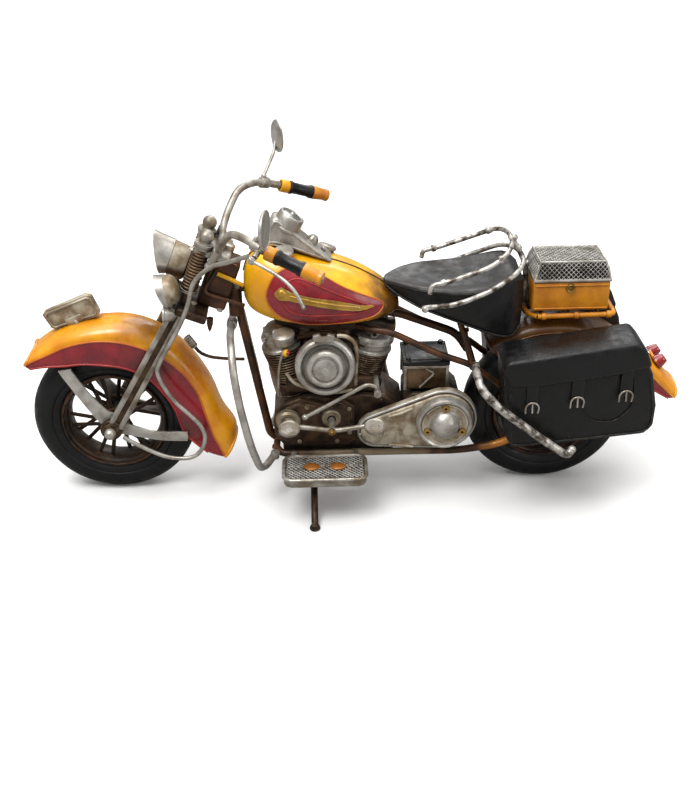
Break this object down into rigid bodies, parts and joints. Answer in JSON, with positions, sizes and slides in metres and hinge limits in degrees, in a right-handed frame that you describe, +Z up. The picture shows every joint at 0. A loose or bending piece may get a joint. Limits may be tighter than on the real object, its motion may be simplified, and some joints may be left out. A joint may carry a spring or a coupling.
{
  "type": "toy motorcycle",
  "caption": "Tin display motorcycle with sprung fork, spoked wheels, finned engine, teardrop tank, railed seat, panniers, luggage box and a folding stand.",
  "frame": {"origin": "on the ground, in the centre plane, midway along the overall length", "axes": "-X is the direction the bike heads, -Y is its left side, +Z is up"},
  "size_m": [0.3798, 0.1598, 0.2029],
  "materials": {
    "main_frame": "aged brown",
    "neck_box": "aged brown",
    "crash_bar": "aged satin",
    "fuel_tank_left": "satin, aged",
    "fuel_tank_right": "satin, aged",
    "dash_console": "aged satin",
    "gauge": "aged satin",
    "fuel_cap_left": "aged satin",
    "fuel_cap_right": "aged satin",
    "crankcase": "aged satin",
    "front_cylinder": "aged satin",
    "rear_cylinder": "aged satin",
    "front_head": "aged satin",
    "rear_head": "aged satin",
    "air_cleaner": "aged satin",
    "cam_cover": "aged satin",
    "primary_cover": "aged satin",
    "clutch_cover": "aged satin",
    "gearbox": "aged satin",
    "oil_tank": "satin, rubbed edges",
    "exhaust": "aged satin",
    "floorboard_left": "aged satin",
    "floorboard_right": "aged satin",
    "seat": "satin, rubbed edges",
    "seat_rail": "aged satin",
    "luggage_rack": "satin, aged",
    "luggage_box": "satin, aged",
    "saddlebag_left": "satin, rubbed edges",
    "saddlebag_right": "satin, rubbed edges",
    "bag_guard_left": "aged satin",
    "bag_guard_right": "aged satin",
    "rear_fender": "satin, aged",
    "tail_light": "gloss",
    "rear_axle": "aged satin",
    "fork": "aged satin",
    "spring_left": "aged satin",
    "spring_right": "aged satin",
    "handlebar": "aged satin",
    "grip_left": "satin, aged",
    "grip_right": "satin, aged",
    "headlight": "aged satin",
    "spotlight_left": "aged satin",
    "spotlight_right": "aged satin",
    "front_fender": "satin, aged",
    "number_plate": "aged satin",
    "brake_cable": "aged satin",
    "front_axle": "aged satin",
    "front_tyre": "matte",
    "front_rim": "aged brown",
    "rear_tyre": "matte",
    "rear_rim": "aged brown",
    "mirror_left": "satin",
    "mirror_right": "satin",
    "lever_left": "aged satin",
    "lever_right": "aged satin",
    "luggage_lid": "aged satin",
    "rocker_pedal": "aged satin",
    "shift_rod": "aged satin",
    "kickstand": "aged satin"
  },
  "bodies": {
    "frame": {"main_frame": "main_frame", "neck_box": "neck_box", "crash_bar": "crash_bar", "fuel_tank_left": "fuel_tank_left", "fuel_tank_right": "fuel_tank_right", "dash_console": "dash_console", "gauge": "gauge", "fuel_cap_left": "fuel_cap_left", "fuel_cap_right": "fuel_cap_right", "crankcase": "crankcase", "front_cylinder": "front_cylinder", "rear_cylinder": "rear_cylinder", "front_head": "front_head", "rear_head": "rear_head", "air_cleaner": "air_cleaner", "cam_cover": "cam_cover", "primary_cover": "primary_cover", "clutch_cover": "clutch_cover", "gearbox": "gearbox", "oil_tank": "oil_tank", "exhaust": "exhaust", "floorboard_left": "floorboard_left", "floorboard_right": "floorboard_right", "seat": "seat", "seat_rail": "seat_rail", "luggage_rack": "luggage_rack", "luggage_box": "luggage_box", "saddlebag_left": "saddlebag_left", "saddlebag_right": "saddlebag_right", "bag_guard_left": "bag_guard_left", "bag_guard_right": "bag_guard_right", "rear_fender": "rear_fender", "tail_light": "tail_light", "rear_axle": "rear_axle"},
    "fork": {"fork": "fork", "spring_left": "spring_left", "spring_right": "spring_right", "handlebar": "handlebar", "grip_left": "grip_left", "grip_right": "grip_right", "headlight": "headlight", "spotlight_left": "spotlight_left", "spotlight_right": "spotlight_right", "front_fender": "front_fender", "number_plate": "number_plate", "brake_cable": "brake_cable", "front_axle": "front_axle"},
    "front_wheel": {"front_tyre": "front_tyre", "front_rim": "front_rim"},
    "rear_wheel": {"rear_tyre": "rear_tyre", "rear_rim": "rear_rim"},
    "mirror_left": {"mirror_left": "mirror_left"},
    "mirror_right": {"mirror_right": "mirror_right"},
    "lever_left": {"lever_left": "lever_left"},
    "lever_right": {"lever_right": "lever_right"},
    "luggage_lid": {"luggage_lid": "luggage_lid"},
    "rocker_pedal": {"rocker_pedal": "rocker_pedal"},
    "shift_rod": {"shift_rod": "shift_rod"},
    "kickstand": {"kickstand": "kickstand"}
  },
  "joints": [
    {"name": "steering", "type": "hinge", "parent": "frame", "child": "fork", "pos_m": [-0.08123, 0, 0.122], "axis": [0.3746, 0, 0.9272], "range_deg": [-18, 18]},
    {"name": "front_wheel_spin", "type": "hinge", "parent": "fork", "child": "front_wheel", "pos_m": [-0.14172, 0, 0.04794], "axis": [0, 1, 0], "continuous": true},
    {"name": "rear_wheel_spin", "type": "hinge", "parent": "frame", "child": "rear_wheel", "pos_m": [0.11367, 0, 0.04794], "axis": [0, 1, 0], "continuous": true},
    {"name": "stand_fold", "type": "hinge", "parent": "frame", "child": "kickstand", "pos_m": [-0.02423, -0.0225, 0.024], "axis": [0, -0.5606, 0.8281], "range_deg": [0, 85]},
    {"name": "mirror_left_swivel", "type": "hinge", "parent": "fork", "child": "mirror_left", "pos_m": [-0.04902, -0.0496, 0.1762], "axis": [0, 0, 1], "range_deg": [-25, 25]},
    {"name": "mirror_right_swivel", "type": "hinge", "parent": "fork", "child": "mirror_right", "pos_m": [-0.04902, 0.0496, 0.1762], "axis": [0, 0, 1], "range_deg": [-25, 25]},
    {"name": "lever_left_squeeze", "type": "hinge", "parent": "fork", "child": "lever_left", "pos_m": [-0.05162, -0.059, 0.1684], "axis": [0.3144, -0.1202, 0.9417], "range_deg": [0, 10]},
    {"name": "lever_right_squeeze", "type": "hinge", "parent": "fork", "child": "lever_right", "pos_m": [-0.05162, 0.059, 0.1684], "axis": [-0.3144, -0.1202, -0.9417], "range_deg": [0, 10]},
    {"name": "lid_hinge", "type": "hinge", "parent": "frame", "child": "luggage_lid", "pos_m": [0.12052, 0.0164, 0.134], "axis": [-1, 0, 0], "range_deg": [0, 90]},
    {"name": "pedal_rock", "type": "hinge", "parent": "frame", "child": "rocker_pedal", "pos_m": [-0.01323, -0.04, 0.055], "axis": [0, 1, 0], "range_deg": [-8, 8]},
    {"name": "shift_rod_turn", "type": "hinge", "parent": "frame", "child": "shift_rod", "pos_m": [0.01277, -0.036, 0.076], "axis": [0, 1, 0], "range_deg": [-3.1, 3.1]}
  ],
  "couplings": [
    {"joint": "shift_rod_turn", "follows": "pedal_rock", "ratio": 0.38}
  ]
}
